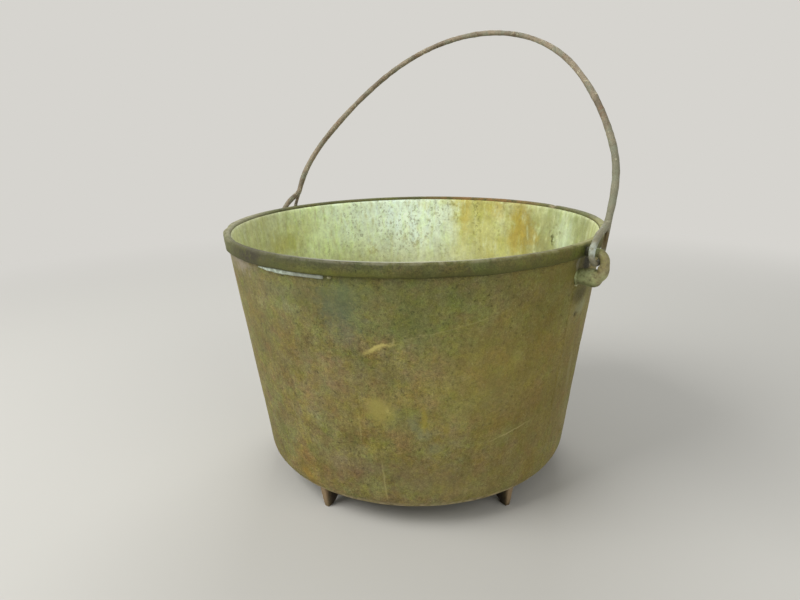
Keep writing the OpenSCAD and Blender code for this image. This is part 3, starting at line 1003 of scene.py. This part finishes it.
def half_rod():
    """Centre line from the tip of the right eye to the crown, with the bail upright and its hinge at 0"""
    ring = arc((0, -EYE_SAG), EYE_R + EYE_SAG, radians(20), -pi - radians(12), 60)
    drawn_end = [(4.2 * MM, EYE_L + 9 * MM), (3.9 * MM, EYE_L), (4.6 * MM, 0.6 * EYE_L)]
    knee = [
        (-6.0 * MM, 0.25 * EYE_L),
        (-3.8 * MM, 0.55 * EYE_L),
        (-0.6 * MM, 0.8 * EYE_L),
        (LEG_SHIFT, EYE_L + 2 * MM),
    ]
    eye = spaced([*drawn_end, *ring, *knee], 0.7 * MM)
    leg_top = (EYE_X + LEG_L * sin(LEG_SPLAY), EYE_L + LEG_L * cos(LEG_SPLAY))
    shoulder_c = (leg_top[0] - SHOULDER_R * cos(LEG_SPLAY), leg_top[1] + SHOULDER_R * sin(LEG_SPLAY))
    shoulder = arc(shoulder_c, SHOULDER_R, -LEG_SPLAY, SHOULDER_TURN, 50)
    flank_c = np.array(shoulder[-1]) - FLANK_R * np.array((cos(SHOULDER_TURN), sin(SHOULDER_TURN)))
    flank = arc(flank_c, FLANK_R, SHOULDER_TURN, FLANK_TURN, 60)
    crown_r = flank[-1][0] / cos(FLANK_TURN)
    crown = arc((0, flank[-1][1] - crown_r * sin(FLANK_TURN)), crown_r, FLANK_TURN, pi / 2, 90)
    arch = spaced([leg_top, *shoulder[1:], *flank[1:], *crown[1:]], 1.5 * MM)
    leg = [(x, LEG_SHIFT * max(0, 1 - (z - EYE_L) / LEG_SHIFT_RUN) ** 2, z) for x, z in arch]
    path = np.array([(EYE_X, y, z) for y, z in eye] + leg)
    path[:, 0] += np.interp(runs_along(path) / MM, *zip(*EYE_TWIST)) * MM
    return path


def runs_along(path):
    """How far along a path each of its points is"""
    steps = np.linalg.norm(np.diff(path, axis=0), axis=1)
    return np.concatenate([[0], np.cumsum(steps)])


def rod_radius(point, from_tip):
    """The rod is drawn thin round the eyes and at its tips, stout in the legs and worn at the crown"""
    radius = np.interp(from_tip / MM, *zip(*ROD_RUNS)) * MM
    worn = clamped((point[2] - WORN_FROM) / WORN_RUN)
    radius -= (radius - CROWN_ROD_R) * worn
    return radius * (1 + rough_lumps(Vector(point), ROD_SCALE) * clamped(point[2] / EYE_L))


def make_bail():
    """Both halves of the rod, eased above the eyes and leaned back as at rest"""
    right = half_rod()
    path = np.vstack([right, (right * (-1, 1, 1))[-2::-1]])
    for _ in range(12):
        eased = path.copy()
        eased[1:-1] = (path[:-2] + 2 * path[1:-1] + path[2:]) / 4
        above = np.clip((path[:, 2] - 0.3 * EYE_L) / (0.3 * EYE_L), 0, 1)[:, None]
        path = path + (eased - path) * above
    run = runs_along(path)
    radii = [rod_radius(point, min(s, run[-1] - s)) for point, s in zip(path, run)]
    lean = np.array(Matrix.Rotation(-BAIL_LEAN, 3, "X"))
    path = path @ lean.T + (0, 0, HINGE_Z)
    verts, faces = tube(path, radii, 16)
    piece_from("rod", verts, faces, ROD_IRON, "rod_iron", body="bail", replaced=("bail",))


make_casting()
make_band()
make_lining()
make_ear("right_ear", 1)
make_ear("left_ear", -1)
make_seam("right_seam", 0.0)
make_seam("left_seam", pi)
for foot, angle in FOOT_ANGLES.items():
    make_foot(foot, radians(angle))
make_bead()
make_bail()


# Stage: pale floor, soft light and the camera

BACKDROP = srgb(214, 212, 207)
FLOOR_COLOUR = srgb(189, 189, 187)
FLOOR_RINGS = [0.0, 0.4, 0.8, 1.4, 2.4, 4.0, 6.0]
FADE_FROM = 0.5
FADE_TO = 1.15
SKY_STRENGTH = 0.55
WARM, NEUTRAL = (1.0, 0.98, 0.93), (1.0, 1.0, 0.97)
LAMPS = [  # name, place, aim, size, power and colour
    ("key", (-0.55, -1.15, 1.25), (0, 0, 0.1), 1.1, 27, WARM),
    ("fill", (1.5, -0.2, 0.8), (0, 0, 0.1), 1.4, 9, WARM),
    ("back", (-0.7, 1.0, 1.3), (0, 0, 0.2), 1.0, 12, NEUTRAL),
]


def level(_azimuth, radius, _z):
    """A floor that is true all over"""
    return radius, 0.0


def make_floor():
    """Round floor that takes the shadow near the kettle and fades into the backdrop"""
    verts, faces = lathe([(r, 0.0) for r in FLOOR_RINGS], 96, False, level)
    mesh = bpy.data.meshes.new("floor")
    mesh.from_pydata(verts, [], faces)
    floor = bpy.data.objects.new("floor", mesh)
    bpy.context.scene.collection.objects.link(floor)
    finish = Finish("pale_floor", Base_Color=FLOOR_COLOUR, Roughness=0.9, Specular_IOR_Level=0.1)
    x, y, _ = finish.axes(finish.place)
    away = (x * x + y * y).ramp(FADE_FROM ** 2, FADE_TO ** 2)
    glow = finish.node("ShaderNodeEmission", {}, {"Color": BACKDROP})
    shader = Field(finish, finish.shader.outputs[0])
    finish.show("Material Output", finish.node("ShaderNodeMixShader", {}, {0: away, 1: shader, 2: glow}))
    mesh.materials.append(finish.material)


def make_light(name, place, aim, size, power, colour):
    """Square lamp at a place, turned to what it aims at"""
    lamp = bpy.data.lights.new(name, "AREA")
    lamp.size = size
    lamp.energy = power
    lamp.color = colour
    light = bpy.data.objects.new(name, lamp)
    light.location = place
    light.rotation_euler = (Vector(aim) - Vector(place)).to_track_quat("-Z", "Y").to_euler()
    bpy.context.scene.collection.objects.link(light)


def make_world():
    """Even light, and a plain backdrop for what looks straight at it"""
    world = bpy.data.worlds.new("studio")
    bpy.context.scene.world = world
    graph = Graph(world)
    graph.tree.nodes.remove(graph.tree.nodes["Background"])
    sky = graph.node("ShaderNodeBackground", {}, {"Color": BACKDROP, "Strength": SKY_STRENGTH})
    plain = graph.node("ShaderNodeBackground", {}, {"Color": BACKDROP})
    rays = ("Is Camera Ray", "Is Glossy Ray", "Is Transmission Ray")
    camera, glossy, clear = [graph.node("ShaderNodeLightPath", {}, {}, ray) for ray in rays]
    straight = camera.maths("MAXIMUM", camera.maths("MAXIMUM", camera, glossy), clear)
    graph.show("World Output", graph.node("ShaderNodeMixShader", {}, {0: straight, 1: sky, 2: plain}))


def make_camera():
    """Camera where the picture of the kettle was taken from"""
    lens = bpy.data.cameras.new("camera")
    lens.sensor_fit = "HORIZONTAL"
    lens.sensor_width = SENSOR_MM
    lens.lens = LENS_MM
    lens.clip_start = 0.01
    camera = bpy.data.objects.new("camera", lens)
    stand = Vector((VIEW_DISTANCE * sin(VIEW_AZIMUTH), -VIEW_DISTANCE * cos(VIEW_AZIMUTH), VIEW_HEIGHT))
    camera.matrix_world = (
        Matrix.Translation(stand)
        @ Matrix.Rotation(VIEW_AZIMUTH - VIEW_PAN, 4, "Z")
        @ Matrix.Rotation(pi / 2 - VIEW_PITCH, 4, "X")
        @ Matrix.Rotation(VIEW_ROLL, 4, "Z")
    )
    bpy.context.scene.collection.objects.link(camera)
    bpy.context.scene.camera = camera


make_floor()
make_world()
for lamp in LAMPS:
    make_light(*lamp)
make_camera()
bpy.context.scene.view_settings.view_transform = "Standard"
